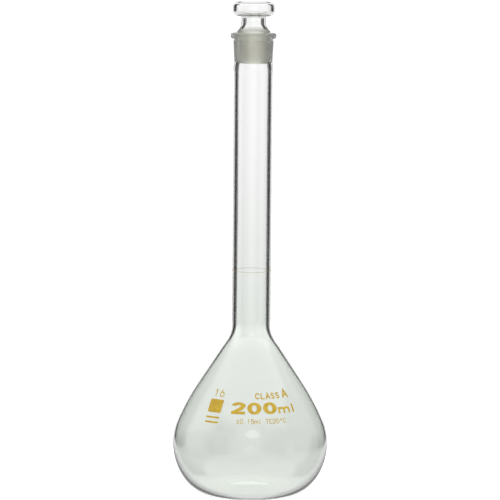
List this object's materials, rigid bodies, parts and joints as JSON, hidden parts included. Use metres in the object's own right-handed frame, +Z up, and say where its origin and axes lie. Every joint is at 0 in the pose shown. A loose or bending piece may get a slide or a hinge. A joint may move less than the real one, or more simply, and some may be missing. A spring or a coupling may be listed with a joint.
{
  "type": "volumetric flask",
  "caption": "Stoppered volumetric flask: a pear-shaped glass bulb on a flat foot, a long straight neck with a graduation ring, and a ground socket closed by a hollow glass stopper.",
  "frame": {"origin": "middle of the base, on the plane that the foot ring stands on", "axes": "+Z up along the axis of the flask; the capacity figures face -Y"},
  "size_m": [0.0762, 0.0762, 0.2415],
  "materials": {
    "clear_glass": "clear fire-polished borosilicate, faintly green where it is seen edge on",
    "ground_socket_glass": "clear outside and ground matt inside the cone",
    "stopper_glass": "clear blown head and waist, with a ground matt plug",
    "amber_enamel": "fired amber enamel, slightly glossy, a thin raised coat"
  },
  "bodies": {
    "flask": {"bulb": "clear_glass", "neck": "clear_glass", "socket": "ground_socket_glass", "graduation_ring": "amber_enamel", "capacity_figures": "amber_enamel", "capacity_unit": "amber_enamel", "class_mark": "amber_enamel", "tolerance_mark": "amber_enamel", "joint_size_mark": "amber_enamel", "writing_panel": "amber_enamel", "panel_rules": "amber_enamel"},
    "stopper": {"stopper": "stopper_glass"}
  },
  "joints": [
    {"name": "stopper_lift", "type": "slide", "parent": "flask", "child": "stopper", "axis": [0, 0, 1], "range_m": [0, 0.03]}
  ]
}
